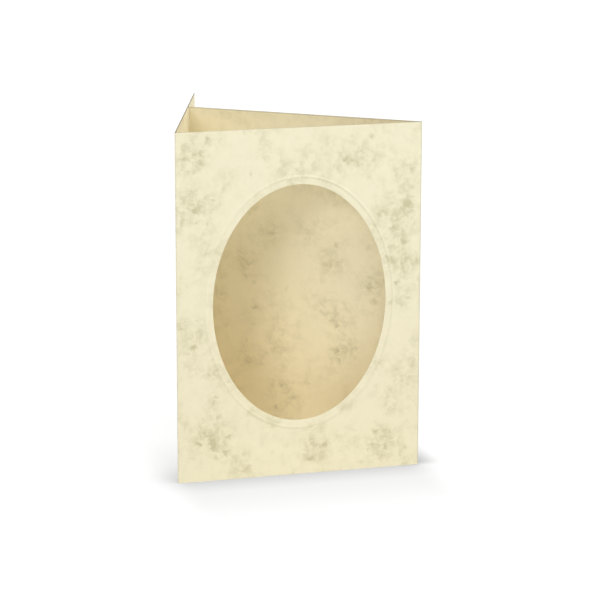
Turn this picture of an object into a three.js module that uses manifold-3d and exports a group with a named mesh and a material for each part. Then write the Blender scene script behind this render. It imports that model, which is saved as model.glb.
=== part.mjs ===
// A passe-partout card: one sheet of marbled card stock, folded twice into three panels.
// The front panel has an oval window with an embossed line round it. A flap folds back from its
// left side and the back panel from its right, and the back panel's free edge leans on the flap,
// so that the card stands upright by itself.
// Millimetres, +Z up, front panel facing -Y, origin at the middle of the footprint.

import * as THREE from "three";
import { mergeVertices } from "three/addons/utils/BufferGeometryUtils.js";
import Module from "manifold-3d";

// The sheet
const cardHeight = 169;
const frontWidth = 120; // fold to fold, outside
const flapWidth = 117; // a little narrower, so that it tucks inside the closed card
const backWidth = 120;
const sheetThickness = 0.3;

// The folds
const foldInnerRadius = 0.35;
const backAngle = THREE.MathUtils.degToRad(36.1); // between the front and back panels
const restClearance = 0.3; // the back panel's free edge to the flap's inner face
const foldSegments = 12; // round each fold

// The oval window, centred on the front panel
const windowWidth = 85;
const windowHeight = 115;
const windowSegments = 96;

// The embossed line: a bead that stands proud of the outer face and is hollow on the inner face
const beadOffset = 3.6; // window edge to the middle of the bead
const beadWidth = 2.2;
const beadHeight = 0.22;
const beadSegments = 8; // across the bead

const ivory = new THREE.MeshStandardMaterial({ color: 0xefe8c9, roughness: 0.8, metalness: 0 });

const wasm = await Module();
wasm.setup();

const foldOuterRadius = foldInnerRadius + sheetThickness;
const leftFold = new THREE.Vector2(foldOuterRadius, foldOuterRadius); // centres of the two folds
const rightFold = new THREE.Vector2(frontWidth - foldOuterRadius, foldOuterRadius);
const backStraight = backWidth - foldOuterRadius;
const flapStraight = flapWidth - foldOuterRadius;

// The unit vector at an angle in the plan.
function heading(angle) {
  return new THREE.Vector2(Math.cos(angle), Math.sin(angle));
}

// The angle between the front panel and the flap, at which the flap's inner face lies
// restClearance away from the inner corner of the back panel's free edge.
function leaningFlapAngle() {
  const freeCorner = rightFold
    .clone()
    .addScaledVector(heading(Math.PI / 2 - backAngle), foldInnerRadius)
    .addScaledVector(heading(Math.PI - backAngle), backStraight);
  const reach = freeCorner.sub(leftFold);
  return reach.angle() + Math.asin((restClearance - foldInnerRadius) / reach.length());
}

// The folded sheet seen from above: across the flap's free edge, along the outer face
// to the back panel's free edge, and home along the inner face.
function planOutline(flapAngle) {
  const flapOutward = flapAngle + Math.PI / 2;
  const backOutward = Math.PI / 2 - backAngle;
  const faceOutward = -Math.PI / 2;
  const flapEnd = leftFold.clone().addScaledVector(heading(flapAngle), flapStraight);
  const backEnd = rightFold.clone().addScaledVector(heading(Math.PI - backAngle), backStraight);
  const outer = foldOuterRadius;
  const inner = foldInnerRadius;
  const flapInner = flapEnd.clone().addScaledVector(heading(flapOutward), inner);
  const flapOuter = flapEnd.clone().addScaledVector(heading(flapOutward), outer);
  const backOuter = backEnd.clone().addScaledVector(heading(backOutward), outer);
  const backInner = backEnd.clone().addScaledVector(heading(backOutward), inner);
  const shape = new THREE.Shape();
  shape.moveTo(flapInner.x, flapInner.y);
  shape.lineTo(flapOuter.x, flapOuter.y);
  shape.absarc(leftFold.x, leftFold.y, outer, flapOutward, faceOutward + 2 * Math.PI, false);
  shape.absarc(rightFold.x, rightFold.y, outer, faceOutward, backOutward, false);
  shape.lineTo(backOuter.x, backOuter.y);
  shape.lineTo(backInner.x, backInner.y);
  shape.absarc(rightFold.x, rightFold.y, inner, backOutward, faceOutward, true);
  shape.absarc(leftFold.x, leftFold.y, inner, faceOutward + 2 * Math.PI, flapOutward, true);
  shape.closePath();
  return shape;
}

// A closed geometry as a manifold solid.
function solidOf(geometry) {
  const bare = geometry.clone();
  bare.deleteAttribute("normal");
  bare.deleteAttribute("uv");
  const merged = mergeVertices(bare, 1e-4);
  return new wasm.Manifold(
    new wasm.Mesh({
      numProp: 3,
      vertProperties: new Float32Array(merged.attributes.position.array),
      triVerts: new Uint32Array(merged.index.array),
    }),
  );
}

// A manifold solid as a geometry.
function geometryOf(solid) {
  const mesh = solid.getMesh();
  const geometry = new THREE.BufferGeometry();
  geometry.setAttribute("position", new THREE.BufferAttribute(mesh.vertProperties, 3));
  geometry.setIndex(new THREE.BufferAttribute(mesh.triVerts, 1));
  geometry.computeVertexNormals();
  return geometry;
}

// A point of the front panel's face, a distance out from the window's edge, square to that edge.
function besideWindow(angle, distance) {
  const halfWidth = windowWidth / 2;
  const halfHeight = windowHeight / 2;
  const outward = new THREE.Vector2(Math.cos(angle) / halfWidth, Math.sin(angle) / halfHeight);
  outward.setLength(distance);
  return new THREE.Vector2(
    frontWidth / 2 + halfWidth * Math.cos(angle) + outward.x,
    cardHeight / 2 + halfHeight * Math.sin(angle) + outward.y,
  );
}

// A closed section swept once round the window. Each section point holds
// its distance out from the window's edge and its depth behind the front face.
function ringRoundWindow(section) {
  const positions = [];
  const indices = [];
  const across = section.length;
  for (let step = 0; step < windowSegments; step++) {
    const angle = (2 * Math.PI * step) / windowSegments;
    for (const [distance, depth] of section) {
      const point = besideWindow(angle, distance);
      positions.push(point.x, depth, point.y);
    }
    const here = step * across;
    const next = ((step + 1) % windowSegments) * across;
    for (let side = 0; side < across; side++) {
      const after = (side + 1) % across;
      indices.push(here + side, next + side, next + after);
      indices.push(here + side, next + after, here + after);
    }
  }
  const geometry = new THREE.BufferGeometry();
  geometry.setAttribute("position", new THREE.Float32BufferAttribute(positions, 3));
  geometry.setIndex(indices);
  return solidOf(geometry);
}

// The bead's rounded top as section points, moved behind the front face by a depth.
// It runs towards the window, so that it is closed at a greater depth.
function beadCurve(behind) {
  const curve = [];
  for (let step = 0; step <= beadSegments; step++) {
    const across = 0.5 - step / beadSegments;
    const height = (beadHeight * (1 + Math.cos(2 * Math.PI * across))) / 2;
    curve.push([beadOffset + beadWidth * across, behind - height]);
  }
  return curve;
}

// A bead's curve closed by a straight side at a given depth.
function closedSection(curve, closingDepth) {
  const first = curve[0];
  const last = curve[curve.length - 1];
  return [...curve, [last[0], closingDepth], [first[0], closingDepth]];
}

function windowCutter() {
  const oval = new THREE.Shape();
  for (let step = 0; step < windowSegments; step++) {
    const point = besideWindow((2 * Math.PI * step) / windowSegments, 0);
    if (step === 0) oval.moveTo(point.x, point.y);
    else oval.lineTo(point.x, point.y);
  }
  oval.closePath();
  const depth = 4 * sheetThickness;
  const geometry = new THREE.ExtrudeGeometry(oval, { depth, bevelEnabled: false });
  geometry.rotateX(Math.PI / 2); // the extrusion now runs along -Y
  geometry.translate(0, sheetThickness + depth / 2, 0);
  return solidOf(geometry);
}

function foldedSheet() {
  const plan = planOutline(leaningFlapAngle());
  const sheet = solidOf(
    new THREE.ExtrudeGeometry(plan, {
      depth: cardHeight,
      bevelEnabled: false,
      curveSegments: foldSegments / 2, // an arc gets twice as many
    }),
  );
  const insideSheet = sheetThickness / 2;
  const behindSheet = 2 * sheetThickness;
  const bead = ringRoundWindow(closedSection(beadCurve(0), insideSheet));
  const hollow = ringRoundWindow(closedSection(beadCurve(sheetThickness), behindSheet));
  return sheet.add(bead).subtract(hollow).subtract(windowCutter());
}

const geometry = geometryOf(foldedSheet());
geometry.computeBoundingBox();
const middle = geometry.boundingBox.getCenter(new THREE.Vector3());

const foldedCard = new THREE.Mesh(geometry, ivory);
foldedCard.name = "folded_card";
foldedCard.position.set(-middle.x, -middle.y, 0);

const card = new THREE.Group();
card.name = "passe_partout_card";
card.add(foldedCard);

export default card;
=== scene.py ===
"""A passe-partout card: one sheet of marbled ivory card stock, folded twice and stood upright.

Metres, +Z up, the front panel facing -Y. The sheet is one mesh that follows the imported
solid's plan. Each of its points also keeps its place on the flat blank, in millimetres,
so that the marbling runs on over the folds and differs from one side to the other.
"""

import math

import bmesh
import bpy
import numpy as np
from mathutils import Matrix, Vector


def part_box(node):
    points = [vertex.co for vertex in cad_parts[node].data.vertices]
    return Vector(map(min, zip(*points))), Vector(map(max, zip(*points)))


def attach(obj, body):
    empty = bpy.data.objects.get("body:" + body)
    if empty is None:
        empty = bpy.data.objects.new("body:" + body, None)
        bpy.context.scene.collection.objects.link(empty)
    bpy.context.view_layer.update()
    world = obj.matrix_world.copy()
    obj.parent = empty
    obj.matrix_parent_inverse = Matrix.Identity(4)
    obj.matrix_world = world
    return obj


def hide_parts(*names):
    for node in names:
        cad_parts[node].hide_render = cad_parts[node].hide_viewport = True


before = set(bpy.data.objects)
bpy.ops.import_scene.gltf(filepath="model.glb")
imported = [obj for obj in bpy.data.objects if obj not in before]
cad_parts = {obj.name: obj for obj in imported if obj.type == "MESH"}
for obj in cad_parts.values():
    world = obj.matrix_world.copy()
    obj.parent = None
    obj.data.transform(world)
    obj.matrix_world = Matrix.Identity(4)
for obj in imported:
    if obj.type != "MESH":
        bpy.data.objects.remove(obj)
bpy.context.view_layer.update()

MM = 0.001

# The sheet and its folds, whose centres in the plan are LEFT_FOLD and RIGHT_FOLD
CARD = "folded_card"
LOW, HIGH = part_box(CARD)
FRONT_WIDTH = HIGH.x - LOW.x
CARD_HEIGHT = HIGH.z - LOW.z
SHEET_THICKNESS = 0.3 * MM
FOLD_INNER_RADIUS = 0.35 * MM
FOLD_OUTER_RADIUS = FOLD_INNER_RADIUS + SHEET_THICKNESS
FLAP_WIDTH = 116.998 * MM  # 117 mm in the solid, whose folds are rounded in steps
BACK_WIDTH = 120 * MM
BACK_ANGLE = math.radians(36.1)  # between the front and back panels
REST_CLEARANCE = 0.3 * MM  # the back panel's free edge to the flap's inner face
BEAD_HEIGHT = 0.22 * MM  # the embossed line round the window stands proud by this much
FRONT_FACE = LOW.y + BEAD_HEIGHT
LEFT_FOLD = np.array([LOW.x + FOLD_OUTER_RADIUS, FRONT_FACE + FOLD_OUTER_RADIUS])
RIGHT_FOLD = np.array([HIGH.x - FOLD_OUTER_RADIUS, FRONT_FACE + FOLD_OUTER_RADIUS])
FRONT_OUTWARD = 1.5 * math.pi  # the way that the front panel's outer face looks

# The oval window and the embossed line round it
WINDOW_WIDTH = 85 * MM
WINDOW_HEIGHT = 115 * MM
BEAD_OFFSET = 3.6 * MM  # window edge to the middle of the bead
BEAD_WIDTH = 2.2 * MM
BEAD_BORDER = 0.5 * MM  # flat card round the bead, with a ring of faces of its own
EDGE_ROLL = 0.09 * MM  # how far the die pressed the window's edge back
EDGE_ROLL_WIDTH = 2.2 * MM

# The mesh
ROWS = 96  # up the card
FRONT_COLUMNS = 68
PANEL_COLUMNS = 64
FOLD_STEPS = 10
ROLL_STEPS = 7
BEAD_STEPS = 14
OUTER_RINGS = 9  # from the bead out to the panel's outline
MERGE_DISTANCE = 0.001 * MM
SHARP_ANGLE = math.radians(50)

# The marbling
OTHER_SIDE = 1000.0  # sets the inner side's marbling far from the outer side's, in mm
CLOUD_LIMIT = 1.4  # the most that clouds add up to where they meet
OLIVE_LIMIT = 0.52  # the most olive anywhere
INNER_STRENGTH = 0.82  # of the inner side's marbling, against the outer side's

# The stock's colours, some of them painted shade and painted light, and its surface
IVORY = (0.845, 0.800, 0.590, 1)
# painted shade: the outer side darker and warmer low down
SHADED_LOW_IVORY = (0.812, 0.746, 0.533, 1)
# painted light: the inner side warmer than the outer, for warm light bounced about inside the
# card
WARM_LIT_INNER_IVORY = (0.890, 0.803, 0.560, 1)
# painted light: the inner side brighter and warmer still low down
LIT_LOW_INNER_IVORY = (0.985, 0.862, 0.578, 1)
OLIVE = (0.345, 0.300, 0.100, 1)
DIE_CUT = (0.780, 0.715, 0.500, 1)
# painted shade: the dark of the top and bottom cut edges, also the colour of the painted shade on
# the faces
TRIMMED_EDGE_SHADE = (0.250, 0.230, 0.165, 1)
LOW_SHADE_GROWS = (150.0, 10.0)  # mm up the card, from the plain colour to the painted shade low down
INNER_LIGHT_GROWS = (110.0, 20.0)  # the same on the inner side, up to its painted light low down
UNEVENNESS = 0.25  # how far the outer side's tone drifts at random instead of following the height's painted shade
EDGE_SHADE_GROWS = (1.0, 0.5)  # mm from the top or bottom, from the die's cut colour to the trimmed edges' painted shade
SURFACE_RELIEF = 0.03 * MM  # of the paper's tooth and fibres

# Painted shade on the sheet. Each is a share of the trimmed edges' painted shade colour, and its
# places are millimetres along the flat blank or up it.
FOLD_SHADE = 0.30  # painted shade over the right fold
FOLD_SHADE_GROWS = (119.0, 119.7)  # from no shade to all of it, on the front panel's side
FOLD_SHADE_FADES = (121.2, 120.6)  # the same on the back panel's side
CREASE_SHADE = 0.60  # painted shade inside the right fold's crease
CREASE_MIDDLE = 119.7
CREASE_REACH = (7.0, 0.5)  # from that middle, from no shade to all of it
TOP_EDGE_SHADE = 0.38  # painted shade along the top on the inner side
FLAP_EDGE_SHADE = 0.90  # the same on the flap, where it is darker
FLAP_BEGINS = (0.0, -2.0)  # from the first strength to the second
TOP_SHADE_GROWS = (168.2, 168.8)  # up the blank, from no shade to all of it
BEAD_SHADE = 0.085  # painted shade on the bead's slope towards the window, at the right
BEAD_SHADE_LEFT = 0.017  # the same at the left
BEAD_SHADE_GROWS = (35.0, 85.0)  # along the blank, from the second strength to the first
BEAD_SHADE_OFFSET = 3.3  # window edge to the middle of that line
BEAD_SHADE_REACH = (0.014, 0.003)  # from that middle, from no line to all, in oval half sizes

# The surroundings and the floor
WORLD_LEVEL = 0.33  # how strongly the white surroundings light the card
FLOOR_BOUNCE = (0.86, 0.86, 0.86, 1)  # the floor's colour for the light that it sends back
FLOOR_SEEN = (0.08, 0.08, 0.08, 1)  # its colour where it is seen, under its own glow
GLOW_NEAR = 0.95  # the floor's own glow under the card, as a share of full white
GLOW_FAR = 1.0
GLOW_REACH = (0.20, 0.75)  # metres from the card's middle, from the first glow to the second
FOOT_SHADE = 0.17  # how much the glow lacks at the front panel's foot
FOOT_REACH = 0.085  # metres from that foot, in front of it and behind, to the full glow
FOOT_NARROWING = 4.0  # the shade ends this many times sooner beside the foot
FOOT_INSET = 8 * MM  # how far inside the foot's ends it starts to narrow
CORNER_SHADE = 0.34  # how much more the glow lacks behind the foot of the right fold
CORNER_REACH = (15 * MM, 56 * MM)  # that shade's reach across and back
CORNER_DEPTH = 8 * MM  # from the front panel's face to the middle of that shade
CORNER_GROWS = (-4 * MM, 4.8 * MM)  # behind that face, from no shade to all of it
CONTACT_REACH = 0.02  # metres over which any near wall takes glow away
CONTACT_DEPTH = 0.035  # metres behind the front panel's face by which that has faded
CONTACT_SHARE = (0.52, 0.08)  # how much of it counts at that face and at that depth
FLOOR_SIZE = 8.0
FLOOR_DROP = 0.02 * MM  # keeps the floor clear of the sheet's lower edge

# The photograph's camera
CAMERA_PLACE = (-0.32421, -1.22103, 0.37720)
CAMERA_TURN = (76.467, -0.100, -15.524)  # degrees
CAMERA_LENS = 157.37  # mm, as is the sensor
CAMERA_SENSOR = 36.0


def heading(angle):
    """The unit vector at an angle in the plan."""
    return np.array([math.cos(angle), math.sin(angle)])


def leaning_flap_angle():
    """The angle between the front panel and the flap, with the back panel's free edge on it."""
    back_straight = BACK_WIDTH - FOLD_OUTER_RADIUS
    free_corner = (
        RIGHT_FOLD
        + heading(math.pi / 2 - BACK_ANGLE) * FOLD_INNER_RADIUS
        + heading(math.pi - BACK_ANGLE) * back_straight
    )
    reach = free_corner - LEFT_FOLD
    lean = math.asin((REST_CLEARANCE - FOLD_INNER_RADIUS) / np.hypot(*reach))
    return math.atan2(reach[1], reach[0]) + lean


class Sheet:
    """The card's mesh as it grows: points, their places on the flat blank, and faces."""

    def __init__(self):
        self.points = []
        self.blank = []
        self.faces = []
        self.is_cut_edge = []

    def point(self, station, height, depth, inner):
        """Adds a point, a depth behind the outer face. A station is (base, outward, along):
        a point of the fold line's plan, the way the outer face looks, and the place along
        the flat blank from the front panel's left edge."""
        base, outward, along = station
        plan = base + heading(outward) * (FOLD_OUTER_RADIUS - depth)
        self.points.append((plan[0], plan[1], LOW.z + height))
        self.blank.append((along / MM, height / MM, OTHER_SIDE if inner else 0.0))
        return len(self.points) - 1

    def face(self, corners, is_cut_edge=False):
        """Adds a face, of the stock's surface or of a cut edge."""
        self.faces.append(corners)
        self.is_cut_edge.append(is_cut_edge)

    def between(self, first, second, is_cut_edge=False):
        """Faces between two rows of points."""
        for here in range(len(first) - 1):
            after = here + 1
            corners = (first[here], first[after], second[after], second[here])
            self.face(corners, is_cut_edge)


def front_station(along):
    """A station on the flat front panel."""
    base = np.array([LOW.x + along, FRONT_FACE + FOLD_OUTER_RADIUS])
    return base, FRONT_OUTWARD, along


def fold_stations(fold, begin, end, along):
    """Stations round a fold, from the front panel outwards."""
    stations = []
    for step in range(FOLD_STEPS + 1):
        turn = (end - begin) * step / FOLD_STEPS
        stations.append((fold, begin + turn, along + turn * FOLD_OUTER_RADIUS))
    return stations


def panel_stations(fold, direction, outward, width, along, sign):
    """Stations along a panel, from its fold to its free edge."""
    straight = width - FOLD_OUTER_RADIUS
    stations = []
    for step in range(1, PANEL_COLUMNS + 1):
        reach = straight * step / PANEL_COLUMNS
        stations.append((fold + heading(direction) * reach, outward, along + sign * reach))
    return stations


def flap_strip():
    """Stations over the left fold and along the flap."""
    angle = leaning_flap_angle()
    outward = angle + math.pi / 2
    stations = fold_stations(LEFT_FOLD, FRONT_OUTWARD, outward, FOLD_OUTER_RADIUS)
    last = stations[-1][2]
    return stations + panel_stations(LEFT_FOLD, angle, outward, FLAP_WIDTH, last, -1)


def back_strip():
    """Stations over the right fold and along the back panel."""
    outward = 2.5 * math.pi - BACK_ANGLE
    first = FRONT_WIDTH - FOLD_OUTER_RADIUS
    stations = fold_stations(RIGHT_FOLD, FRONT_OUTWARD, outward, first)
    last = stations[-1][2]
    direction = math.pi - BACK_ANGLE
    return stations + panel_stations(RIGHT_FOLD, direction, outward, BACK_WIDTH, last, 1)


def add_strip(sheet, stations):
    """A fold and the panel beyond it, with the cut edges at top, bottom and free end."""
    heights = np.linspace(0, CARD_HEIGHT, ROWS + 1)
    columns = []
    for station in stations:
        outer = [sheet.point(station, height, 0, False) for height in heights]
        inner = [sheet.point(station, height, SHEET_THICKNESS, True) for height in heights]
        columns.append((outer, inner))
    for (outer, inner), (next_outer, next_inner) in zip(columns, columns[1:]):
        sheet.between(outer, next_outer)
        sheet.between(inner, next_inner)
        for row in (0, -1):
            ends = ([outer[row], inner[row]], [next_outer[row], next_inner[row]])
            sheet.between(*ends, is_cut_edge=True)
    sheet.between(*columns[-1], is_cut_edge=True)


def front_outline():
    """The front panel's flat outline, as (along, height) pairs, anticlockwise from below left."""
    left = FOLD_OUTER_RADIUS
    right = FRONT_WIDTH - FOLD_OUTER_RADIUS
    across = np.linspace(left, right, FRONT_COLUMNS + 1)
    up = np.linspace(0, CARD_HEIGHT, ROWS + 1)
    outline = [(along, 0.0) for along in across[:-1]]
    outline += [(right, height) for height in up[:-1]]
    outline += [(along, CARD_HEIGHT) for along in across[:0:-1]]
    outline += [(left, height) for height in up[:0:-1]]
    return outline


def beside_window(angle, distance):
    """A place on the front panel, a distance out from the window's edge, square to it."""
    half_width = WINDOW_WIDTH / 2
    half_height = WINDOW_HEIGHT / 2
    outward = np.array([math.cos(angle) / half_width, math.sin(angle) / half_height])
    outward *= distance / np.hypot(*outward)
    middle = np.array([FRONT_WIDTH / 2, CARD_HEIGHT / 2])
    edge = np.array([half_width * math.cos(angle), half_height * math.sin(angle)])
    return middle + edge + outward


def pressed_depth(distance):
    """How far behind the flat card the die left it, at a distance out from the window's edge."""
    depth = 0.0
    across = (distance - BEAD_OFFSET) / BEAD_WIDTH
    if abs(across) < 0.5:
        depth -= BEAD_HEIGHT * (1 + math.cos(2 * math.pi * across)) / 2
    if distance < EDGE_ROLL_WIDTH:
        depth += EDGE_ROLL * (1 - distance / EDGE_ROLL_WIDTH) ** 2
    return depth


def ring_distances():
    """The distances out from the window's edge at which the front panel has rings, closer
    together at that edge."""
    edge = [EDGE_ROLL_WIDTH * (step / ROLL_STEPS) ** 1.5 for step in range(ROLL_STEPS + 1)]
    start = BEAD_OFFSET - BEAD_WIDTH / 2
    bead = [start + BEAD_WIDTH * step / BEAD_STEPS for step in range(BEAD_STEPS + 1)]
    return edge + bead + [bead[-1] + BEAD_BORDER]


def add_front(sheet):
    """The front panel: rings of faces from the window's edge out to the panel's outline."""
    half_across = FRONT_WIDTH / 2
    half_up = CARD_HEIGHT / 2
    distances = ring_distances()
    spokes = []
    for along, height in front_outline():
        sideways = (along - half_across) / half_across
        upwards = (height - half_up) / half_up
        angle = math.atan2(upwards, sideways)
        places = [(beside_window(angle, away), pressed_depth(away)) for away in distances]
        last = places[-1][0]
        rim = np.array([along, height])
        for ring in range(1, OUTER_RINGS + 1):
            places.append((last + (rim - last) * ring / OUTER_RINGS, 0.0))
        outer = []
        inner = []
        for place, depth in places:
            station = front_station(place[0])
            outer.append(sheet.point(station, place[1], depth, False))
            inner.append(sheet.point(station, place[1], SHEET_THICKNESS + depth, True))
        spokes.append((outer, inner, height))
    for (outer, inner, height), (next_outer, next_inner, next_height) in zip(
        spokes, spokes[1:] + spokes[:1]
    ):
        sheet.between(outer, next_outer)
        sheet.between(inner, next_inner)
        sheet.between([outer[0], inner[0]], [next_outer[0], next_inner[0]], is_cut_edge=True)
        if height == next_height and height in (0.0, CARD_HEIGHT):
            ends = ([outer[-1], inner[-1]], [next_outer[-1], next_inner[-1]])
            sheet.between(*ends, is_cut_edge=True)


def card_object(materials):
    """The whole folded sheet as one closed mesh."""
    sheet = Sheet()
    add_front(sheet)
    add_strip(sheet, flap_strip())
    add_strip(sheet, back_strip())
    mesh = bpy.data.meshes.new("marbled_sheet")
    mesh.from_pydata(sheet.points, [], sheet.faces)
    blank = mesh.attributes.new("blank", "FLOAT_VECTOR", "POINT")
    blank.data.foreach_set("vector", np.array(sheet.blank, np.float32).ravel())
    for material in materials:
        mesh.materials.append(material)
    mesh.polygons.foreach_set("material_index", np.array(sheet.is_cut_edge, np.int32))
    mesh.polygons.foreach_set("use_smooth", np.ones(len(sheet.faces), bool))
    work = bmesh.new()
    work.from_mesh(mesh)
    bmesh.ops.remove_doubles(work, verts=work.verts, dist=MERGE_DISTANCE)
    bmesh.ops.recalc_face_normals(work, faces=work.faces)
    work.to_mesh(mesh)
    work.free()
    mesh.set_sharp_from_angle(angle=SHARP_ANGLE)
    card = bpy.data.objects.new("marbled_sheet", mesh)
    bpy.context.scene.collection.objects.link(card)
    weighted = card.modifiers.new("flat_panels", "WEIGHTED_NORMAL")
    weighted.keep_sharp = True
    weighted.weight = 100
    return card


class Nodes:
    """A material's node tree, with short calls that add a node and return its output."""

    def __init__(self, name):
        self.material = bpy.data.materials.new(name)
        self.material.use_nodes = True
        self.tree = self.material.node_tree
        self.shader = self.tree.nodes["Principled BSDF"]
        self.output = self.tree.nodes["Material Output"]

    def link(self, source, socket):
        """Feeds a socket from another output or with a plain value."""
        if isinstance(source, bpy.types.NodeSocket):
            self.tree.links.new(source, socket)
        else:
            socket.default_value = source

    def new(self, kind, **settings):
        node = self.tree.nodes.new(kind)
        for name, value in settings.items():
            setattr(node, name, value)
        return node

    def split(self, place):
        """A place's three parts."""
        node = self.new("ShaderNodeSeparateXYZ")
        self.link(place, node.inputs[0])
        return tuple(node.outputs)

    def blank_place(self):
        """The place on the flat blank, and its parts: along it, up it and its side."""
        attribute = self.new("ShaderNodeAttribute", attribute_name="blank")
        blank = attribute.outputs["Vector"]
        return blank, *self.split(blank)

    def math(self, operation, first, second=0.0, clamp=False):
        node = self.new("ShaderNodeMath", operation=operation, use_clamp=clamp)
        self.link(first, node.inputs[0])
        self.link(second, node.inputs[1])
        return node.outputs[0]

    def vector(self, operation, first, second):
        node = self.new("ShaderNodeVectorMath", operation=operation)
        self.link(first, node.inputs[0])
        self.link(second, node.inputs[1])
        return node.outputs["Value" if operation == "DISTANCE" else "Vector"]

    def noise(self, place, scale, detail=4.0, roughness=0.55, colour=False):
        node = self.new("ShaderNodeTexNoise")
        self.link(place, node.inputs["Vector"])
        node.inputs["Scale"].default_value = scale
        node.inputs["Detail"].default_value = detail
        node.inputs["Roughness"].default_value = roughness
        return node.outputs["Color" if colour else "Fac"]

    def warped(self, place, scale, amount, detail=3.0):
        """A place moved about by noise, by up to about half the amount."""
        colour = self.noise(place, scale, detail, colour=True)
        centred = self.vector("SUBTRACT", colour, (0.5, 0.5, 0.5))
        moved = self.vector("MULTIPLY", centred, (amount, amount, 0.0))
        return self.vector("ADD", place, moved)

    def ramp(self, value, low, high, to_low=0.0, to_high=1.0):
        """A smooth step from low to high."""
        node = self.new("ShaderNodeMapRange", interpolation_type="SMOOTHSTEP")
        self.link(value, node.inputs["Value"])
        self.link(low, node.inputs["From Min"])
        self.link(high, node.inputs["From Max"])
        self.link(to_low, node.inputs["To Min"])
        self.link(to_high, node.inputs["To Max"])
        return node.outputs["Result"]

    def mix(self, factor, first, second, data_type="RGBA"):
        node = self.new("ShaderNodeMix", data_type=data_type)
        self.link(factor, node.inputs["Factor"])
        self.link(first, node.inputs["A"])
        self.link(second, node.inputs["B"])
        return node.outputs["Result"]

    def mix_values(self, factor, first, second):
        return self.mix(factor, first, second, data_type="FLOAT")

    def bump(self, height, distance, strength=1.0):
        node = self.new("ShaderNodeBump")
        self.link(height, node.inputs["Height"])
        node.inputs["Distance"].default_value = distance
        node.inputs["Strength"].default_value = strength
        return node.outputs["Normal"]


# Dark cores of the marbling: along the blank, up the blank, radius (mm), strength.
FRONT_BLOTS = [
    (15, 165, 2.4, 0.8), (3, 137, 2.6, 0.5), (18, 136, 1.7, 0.9), (9, 131, 2.6, 0.7),
    (15, 125, 1.8, 0.6), (13, 121, 1.8, 0.5), (36, 148, 1.7, 0.8), (50, 153, 1.5, 0.5),
    (60, 152, 2.2, 0.8), (58, 148, 1.5, 0.5), (85, 164, 1.8, 0.6), (95, 163, 2.4, 0.9),
    (94, 144, 2.0, 0.6), (82, 152, 2.4, 0.5), (96, 152, 2.4, 0.4), (115, 138, 2.2, 0.6),
    (113, 130, 2.8, 1.1), (99, 125, 2.4, 0.8), (112, 112, 2.6, 1.1), (104, 118, 2.0, 0.5),
    (119, 102, 2.4, 0.7), (108, 92, 2.2, 0.9), (105, 82, 2.0, 0.5), (114, 84, 1.8, 0.5),
    (9, 80, 1.8, 0.6), (2, 75, 2.4, 0.7), (8, 66, 2.4, 0.9), (17, 60, 1.8, 0.7),
    (20, 56, 1.6, 0.7), (15, 52, 1.8, 0.7), (19, 42, 1.3, 0.9), (18, 39, 1.3, 0.9),
    (17, 18, 3.4, 1.2), (10, 19, 2.0, 0.7), (25, 21, 2.0, 0.6), (20, 31, 2.0, 0.6),
    (8, 13, 1.8, 0.6), (19, 11, 1.8, 0.5), (34, 6, 2.2, 0.6), (46, 12, 2.0, 0.5),
    (62, 22, 2.0, 0.5), (73, 14, 1.9, 0.9), (66, 7, 2.6, 1.0), (87, 20, 1.8, 0.4),
    (98, 18, 2.0, 0.8), (97, 12, 1.8, 0.5), (94, 10, 1.8, 0.7), (91, 3, 2.0, 0.6),
    (103, 10, 1.9, 0.6), (113, 9, 2.0, 0.6), (117, 60, 2.0, 0.5), (106, 40, 1.8, 0.4),
]
INSIDE_BLOTS = [
    (163, 106, 2.3, 1.1), (198, 110, 2.8, 0.9), (213, 89, 1.9, 0.7), (211, 86, 1.8, 0.8),
    (206, 84, 2.1, 0.7), (206, 71, 1.8, 0.9), (207, 63, 1.7, 0.6), (210, 54, 1.9, 0.6),
    (210, 43, 2.6, 0.8), (189, 82, 2.0, 0.5), (170, 96, 2.4, 0.6), (163, 97, 2.4, 0.6),
    (170, 88, 2.2, 0.7), (166, 78, 2.1, 0.9), (165, 68, 2.3, 0.9), (163, 65, 2.1, 1.1),
    (159, 62, 1.9, 0.7), (163, 53, 2.3, 0.7), (154, 55, 2.3, 0.8), (162, 48, 2.1, 0.6),
    (146, 87, 3.0, 1.1), (144, 79, 2.6, 0.9), (139, 90, 2.1, 0.7), (147, 106, 2.4, 0.5),
    (196, 50, 2.0, 0.5), (192, 33, 1.7, 0.6), (186, 27, 1.8, 0.8), (195, 22, 2.4, 0.8),
    (178, 35, 2.4, 0.6),
]
# Wide, faint clouds of fine marbling round the cores, in the same terms.
FRONT_CLOUDS = [
    (9, 134, 17, 0.9), (7, 156, 12, 0.7), (26, 147, 10, 0.4), (88, 154, 13, 0.8),
    (107, 124, 16, 1.0), (108, 102, 12, 0.7), (108, 84, 9, 0.6), (113, 148, 9, 0.5),
    (9, 70, 14, 0.9), (18, 54, 9, 0.8), (18, 22, 17, 1.1), (30, 8, 12, 0.6),
    (18, 38, 9, 0.5), (68, 12, 13, 0.8), (101, 11, 15, 0.8), (55, 150, 10, 0.4),
    (112, 52, 12, 0.5), (104, 34, 9, 0.3), (12, 108, 9, 0.3),
]
INSIDE_CLOUDS = [
    (166, 96, 13, 0.8), (164, 70, 12, 1.0), (158, 54, 13, 0.9), (145, 88, 14, 1.1),
    (210, 92, 11, 0.8), (208, 66, 11, 0.6), (210, 46, 12, 0.8), (197, 110, 11, 0.6),
    (192, 28, 13, 0.4), (146, 110, 11, 0.5), (200, 140, 14, 0.6), (150, 150, 16, 0.7),
    (225, 120, 12, 0.5), (178, 36, 10, 0.3),
]


def spots(nodes, place, centres, side):
    """The sum of soft round spots at listed centres on one side of the blank."""
    total = 0.0
    for along, up, radius, strength in centres:
        distance = nodes.vector("DISTANCE", place, (along, up, side))
        spot = nodes.ramp(distance, radius, 0.0, to_high=strength)
        total = nodes.math("ADD", spot, total)
    return total


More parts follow.
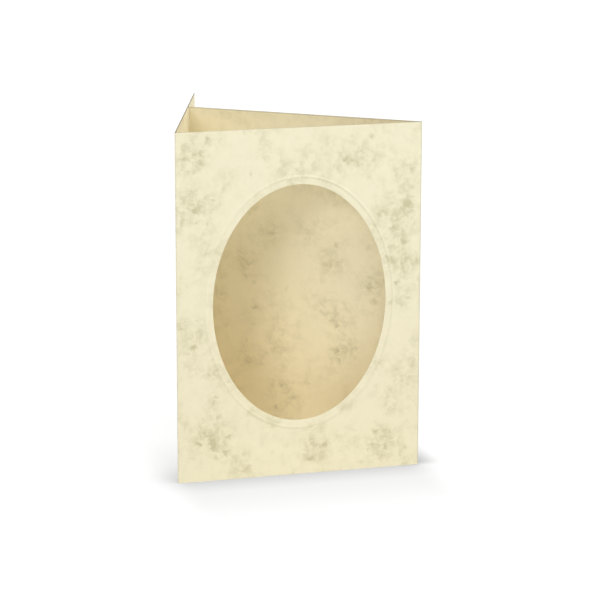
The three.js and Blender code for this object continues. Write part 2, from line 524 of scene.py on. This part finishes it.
def marbling(nodes, blank, inner):
    """How much olive there is: soft clouds with feathered cores, fainter on the inner side."""
    drifted = nodes.warped(blank, scale=0.08, amount=12.0)
    curled = nodes.warped(blank, scale=0.20, amount=5.0)
    feathered = nodes.warped(curled, scale=0.60, amount=2.0, detail=2.0)
    clouds = nodes.math(
        "ADD",
        spots(nodes, drifted, FRONT_CLOUDS, 0.0),
        spots(nodes, drifted, INSIDE_CLOUDS, OTHER_SIDE),
    )
    wide = nodes.noise(drifted, scale=0.05, detail=3.0)
    loose = nodes.ramp(wide, 0.42, 0.68, to_low=0.15, to_high=0.85)
    clouds = nodes.math("MINIMUM", nodes.math("ADD", clouds, loose), CLOUD_LIMIT)
    cores = nodes.math(
        "ADD",
        spots(nodes, feathered, FRONT_BLOTS, 0.0),
        spots(nodes, feathered, INSIDE_BLOTS, OTHER_SIDE),
    )

    mottles = nodes.noise(feathered, scale=0.20, detail=3.0, roughness=0.58)
    wisps = nodes.noise(feathered, scale=0.50, detail=3.0)
    feathering = nodes.mix_values(0.42, mottles, wisps)
    hazy = nodes.ramp(feathering, 0.36, 0.66, to_low=0.04, to_high=0.36)
    haze = nodes.math("MULTIPLY", clouds, hazy)
    smudged = nodes.ramp(feathering, 0.34, 0.60, to_low=0.12, to_high=0.44)
    smudges = nodes.math("MULTIPLY", cores, smudged)
    strength = nodes.mix_values(inner, 1.0, INNER_STRENGTH)
    olive = nodes.math("MULTIPLY", nodes.math("ADD", haze, smudges), strength)
    return nodes.math("MINIMUM", olive, OLIVE_LIMIT)


def stock_with_painted_light(nodes, blank, up, inner):
    """The stock's colour with painted shade and light: on the outer side darker and warmer low
    down, partly drifting at random, and on the inner side warmer, with painted light brighter low
    down.
    """
    # painted shade low down on the outer side, mixed with a random drift of tone
    low = nodes.mix_values(
        UNEVENNESS,
        nodes.ramp(up, *LOW_SHADE_GROWS),
        nodes.noise(blank, scale=0.02, detail=2.0),
    )
    ivory = nodes.mix(low, IVORY, SHADED_LOW_IVORY)
    # painted light on the inner side: warmer all over, brighter and warmer low down
    inner_low_light = nodes.ramp(up, *INNER_LIGHT_GROWS)
    lit_inner_ivory = nodes.mix(inner_low_light, WARM_LIT_INNER_IVORY, LIT_LOW_INNER_IVORY)
    return nodes.mix(inner, ivory, lit_inner_ivory)


def bead_shade_line(nodes, blank, along):
    """A fine oval line of painted shade on the bead's slope towards the window, fainter at the
    left.
    """
    half_width = WINDOW_WIDTH / 2 / MM + BEAD_SHADE_OFFSET
    half_height = WINDOW_HEIGHT / 2 / MM + BEAD_SHADE_OFFSET
    middle_along = FRONT_WIDTH / 2 / MM
    middle_up = CARD_HEIGHT / 2 / MM
    oval = nodes.vector("MULTIPLY", blank, (1 / half_width, 1 / half_height, 0))
    middle = (middle_along / half_width, middle_up / half_height, 0)
    reach = nodes.vector("DISTANCE", oval, middle)
    off_line = nodes.math("ABSOLUTE", nodes.math("SUBTRACT", reach, 1.0))
    to_right = nodes.ramp(along, *BEAD_SHADE_GROWS, BEAD_SHADE_LEFT, BEAD_SHADE)
    return nodes.ramp(off_line, *BEAD_SHADE_REACH, to_high=to_right)


def painted_shades(nodes, blank, along, up, inner):
    """How much painted shade the sheet has: over the right fold, along the bead, along the top
    and in the crease, whichever is strongest at a place."""
    outer = nodes.math("SUBTRACT", 1.0, inner)
    # painted shade over the right fold
    before_fold = nodes.ramp(along, *FOLD_SHADE_GROWS, to_high=FOLD_SHADE)
    shaded_fold = nodes.math("MULTIPLY", before_fold, nodes.ramp(along, *FOLD_SHADE_FADES))
    # painted shade along the bead, on the outer side
    line = nodes.math("MULTIPLY", bead_shade_line(nodes, blank, along), outer)
    # painted shade along the top on the inner side, darker on the flap
    top_shade_strength = nodes.ramp(along, *FLAP_BEGINS, TOP_EDGE_SHADE, FLAP_EDGE_SHADE)
    top_shade = nodes.ramp(up, *TOP_SHADE_GROWS, to_high=top_shade_strength)
    inner_top_shade = nodes.math("MULTIPLY", top_shade, inner)
    # painted shade deep in the right fold's crease, on the inner side
    from_crease = nodes.math("ABSOLUTE", nodes.math("SUBTRACT", along, CREASE_MIDDLE))
    near_crease = nodes.ramp(from_crease, *CREASE_REACH, to_high=CREASE_SHADE)
    crease_shade = nodes.math("MULTIPLY", near_crease, inner)
    strongest = shaded_fold
    for mark in (line, inner_top_shade, crease_shade):
        strongest = nodes.math("MAXIMUM", strongest, mark)
    return strongest


def marbled_card():
    """Matt ivory stock with olive-grey marbling on both sides and a fine tooth, under painted
    shade and light.
    """
    nodes = Nodes("marbled_card")
    blank, along, up, side = nodes.blank_place()
    inner = nodes.math("DIVIDE", side, OTHER_SIDE, clamp=True)
    stock = stock_with_painted_light(nodes, blank, up, inner)
    marbled = nodes.mix(marbling(nodes, blank, inner), stock, OLIVE)
    # painted shade over the marbling, in the trimmed edges' dark colour
    shaded_marbling = nodes.mix(painted_shades(nodes, blank, along, up, inner), marbled, TRIMMED_EDGE_SHADE)
    nodes.link(shaded_marbling, nodes.shader.inputs["Base Color"])

    tooth = nodes.noise(blank, scale=2.6, detail=5.0, roughness=0.6)
    drawn_out = nodes.vector("MULTIPLY", blank, (1.0, 2.2, 1.0))
    fibres = nodes.noise(drawn_out, scale=0.9, detail=4.0, roughness=0.6)
    surface = nodes.math("ADD", tooth, nodes.math("MULTIPLY", fibres, 0.8))
    bumped = nodes.bump(surface, distance=SURFACE_RELIEF, strength=0.6)
    nodes.link(bumped, nodes.shader.inputs["Normal"])
    roughness = nodes.ramp(tooth, 0.3, 0.7, to_low=0.62, to_high=0.78)
    nodes.link(roughness, nodes.shader.inputs["Roughness"])
    nodes.shader.inputs["Specular IOR Level"].default_value = 0.3
    return nodes.material


def cut_edge():
    """The sheet's cut edges: pressed fibres, plain round the window, with painted shade darkening
    them at top and bottom.
    """
    nodes = Nodes("cut_edge")
    blank, _, up, _ = nodes.blank_place()
    middle = CARD_HEIGHT / 2 / MM
    from_middle = nodes.math("ABSOLUTE", nodes.math("SUBTRACT", up, middle))
    from_end = nodes.math("SUBTRACT", middle, from_middle)
    # painted shade on the top and bottom cut edges
    trimmed = nodes.ramp(from_end, *EDGE_SHADE_GROWS)
    edge = nodes.mix(trimmed, DIE_CUT, TRIMMED_EDGE_SHADE)
    through_sheet = nodes.vector("MULTIPLY", blank, (1.0, 1.0, 0.01))
    fibres = nodes.noise(through_sheet, scale=4.0, detail=5.0, roughness=0.65)
    shade = nodes.ramp(fibres, 0.3, 0.7, to_high=0.3)
    nodes.link(nodes.mix(shade, edge, TRIMMED_EDGE_SHADE), nodes.shader.inputs["Base Color"])
    nodes.link(nodes.bump(fibres, distance=SURFACE_RELIEF), nodes.shader.inputs["Normal"])
    nodes.shader.inputs["Roughness"].default_value = 0.85
    nodes.shader.inputs["Specular IOR Level"].default_value = 0.2
    return nodes.material


def seen_directly(tree):
    """1 for rays from the camera, a mirror or through glass, and 0 for those that light."""
    path = tree.nodes.new("ShaderNodeLightPath")
    total = path.outputs["Is Camera Ray"]
    for name in ("Is Glossy Ray", "Is Transmission Ray"):
        either = tree.nodes.new("ShaderNodeMath")
        either.operation = "MAXIMUM"
        tree.links.new(total, either.inputs[0])
        tree.links.new(path.outputs[name], either.inputs[1])
        total = either.outputs[0]
    return total


def white_surroundings():
    """White all round where it is seen, and dimmer where it lights the card."""
    world = bpy.data.worlds.new("white_surroundings")
    bpy.context.scene.world = world
    world.use_nodes = True
    tree = world.node_tree
    background = tree.nodes["Background"]
    background.inputs["Color"].default_value = (1, 1, 1, 1)
    level = tree.nodes.new("ShaderNodeMapRange")
    level.inputs["To Min"].default_value = WORLD_LEVEL
    level.inputs["To Max"].default_value = 1.0
    tree.links.new(seen_directly(tree), level.inputs["Value"])
    tree.links.new(level.outputs["Result"], background.inputs["Strength"])


def foot_light(nodes, across, behind_face):
    """The share of the glow that is left round the front panel's foot."""
    beside = nodes.math("SUBTRACT", nodes.math("ABSOLUTE", across), HIGH.x - FOOT_INSET)
    beside = nodes.math("MULTIPLY", nodes.math("MAXIMUM", beside, 0.0), FOOT_NARROWING)
    squares = nodes.math(
        "ADD",
        nodes.math("POWER", beside, 2),
        nodes.math("POWER", behind_face, 2),
    )
    return nodes.ramp(nodes.math("SQRT", squares), 0.0, FOOT_REACH, to_low=1 - FOOT_SHADE)


def corner_light(nodes, place, behind_face):
    """The share of the glow that is left behind the foot of the right fold."""
    wide, deep = CORNER_REACH
    middle = (HIGH.x / wide, (FRONT_FACE + CORNER_DEPTH) / deep, 0)
    scaled = nodes.vector("MULTIPLY", place, (1 / wide, 1 / deep, 0))
    from_middle = nodes.vector("DISTANCE", scaled, middle)
    strength = nodes.ramp(behind_face, *CORNER_GROWS, to_high=CORNER_SHADE)
    shade = nodes.ramp(from_middle, 1.0, 0.0, to_high=strength)
    return nodes.math("SUBTRACT", 1.0, shade)


def contact_light(nodes, behind_face):
    """The share of the glow that is left close to the card, most of all at its front."""
    contact = nodes.new("ShaderNodeAmbientOcclusion", samples=16)
    contact.inputs["Distance"].default_value = CONTACT_REACH
    share = nodes.ramp(behind_face, 0.0, CONTACT_DEPTH, *CONTACT_SHARE)
    return nodes.mix_values(share, 1.0, contact.outputs["AO"])


def white_floor():
    """A white floor that glows where it is seen, less so close to the card's foot."""
    nodes = Nodes("white_floor")
    seen = seen_directly(nodes.tree)
    colour = nodes.mix(seen, FLOOR_BOUNCE, FLOOR_SEEN)
    nodes.link(colour, nodes.shader.inputs["Base Color"])
    nodes.shader.inputs["Roughness"].default_value = 0.9
    nodes.shader.inputs["Specular IOR Level"].default_value = 0.0
    nodes.shader.inputs["Emission Color"].default_value = (1, 1, 1, 1)

    place = nodes.new("ShaderNodeTexCoord").outputs["Object"]
    away = nodes.vector("DISTANCE", place, (0, 0, 0))
    glow = nodes.ramp(away, *GLOW_REACH, GLOW_NEAR, GLOW_FAR)
    across, back, _ = nodes.split(place)
    behind_face = nodes.math("SUBTRACT", back, FRONT_FACE)
    near_foot = foot_light(nodes, across, behind_face)
    near_corner = corner_light(nodes, place, behind_face)
    near_card = contact_light(nodes, behind_face)
    lit = seen
    for share in (glow, near_foot, near_corner, near_card):
        lit = nodes.math("MULTIPLY", lit, share)
    nodes.link(lit, nodes.shader.inputs["Emission Strength"])

    bpy.ops.mesh.primitive_plane_add(size=FLOOR_SIZE, location=(0, 0, LOW.z - FLOOR_DROP))
    floor = bpy.context.object
    floor.name = "floor"
    floor.data.materials.append(nodes.material)


def soft_light(name, size, distance, azimuth, elevation, power):
    """A square lamp turned to the card. Its azimuth is in degrees to the card's left."""
    light = bpy.data.lights.new(name, "AREA")
    light.shape = "SQUARE"
    light.size = size
    light.energy = power
    lamp = bpy.data.objects.new(name, light)
    bpy.context.scene.collection.objects.link(lamp)
    left, up = math.radians(azimuth), math.radians(elevation)
    flat = math.cos(up) * distance
    lamp.location = (
        -math.sin(left) * flat,
        -math.cos(left) * flat,
        math.sin(up) * distance + LOW.z + CARD_HEIGHT / 2,
    )
    lamp.rotation_euler = (math.pi / 2 - up, 0, -left)


def photograph_camera():
    camera = bpy.data.cameras.new("camera")
    camera.lens = CAMERA_LENS
    camera.sensor_width = CAMERA_SENSOR
    camera.clip_start = 0.05
    camera.clip_end = 50
    holder = bpy.data.objects.new("camera", camera)
    bpy.context.scene.collection.objects.link(holder)
    holder.location = CAMERA_PLACE
    holder.rotation_euler = [math.radians(turn) for turn in CAMERA_TURN]
    bpy.context.scene.camera = holder


photograph_camera()
white_surroundings()
white_floor()
soft_light("left", size=0.75, distance=2.2, azimuth=40, elevation=25, power=11.3)
soft_light("right", size=0.75, distance=2.2, azimuth=-30, elevation=45, power=11.6)
soft_light("far_right", size=1.0, distance=1.8, azimuth=-78, elevation=45, power=10.0)
soft_light("top", size=1.4, distance=1.8, azimuth=0, elevation=80, power=14.0)

card = card_object([marbled_card(), cut_edge()])
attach(card, "root")
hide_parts(CARD)

bpy.context.scene.view_settings.view_transform = "Standard"
